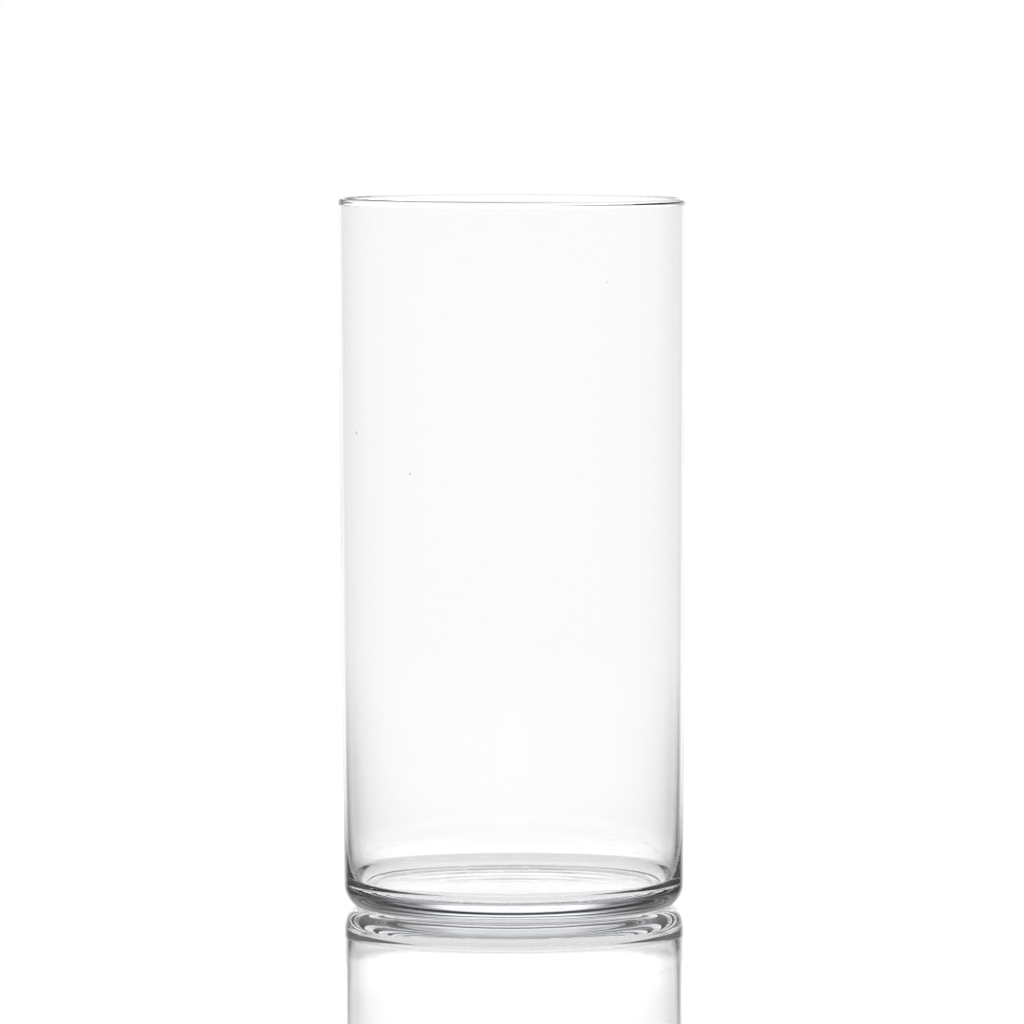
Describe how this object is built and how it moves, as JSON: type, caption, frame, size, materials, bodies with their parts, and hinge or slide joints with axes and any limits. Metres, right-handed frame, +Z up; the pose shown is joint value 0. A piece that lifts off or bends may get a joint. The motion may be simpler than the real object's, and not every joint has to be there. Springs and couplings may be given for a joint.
{
  "type": "glass cylinder vase",
  "caption": "Clear thin-walled glass cylinder vase with a fire-polished lip, a rounded heel and a thick floor with a shallow push-up, standing on a flat ring.",
  "frame": {"origin": "centre of the flat ring that the vase stands on, level with the surface under it", "axes": "+Z up along the vase's axis, towards the open mouth; X and Y are equivalent, because the vase is round"},
  "size_m": [0.122, 0.122, 0.25],
  "materials": {
    "clear_glass": "clear, colourless, polished"
  },
  "bodies": {
    "root": {"vase_body": "clear_glass"}
  },
  "joints": []
}
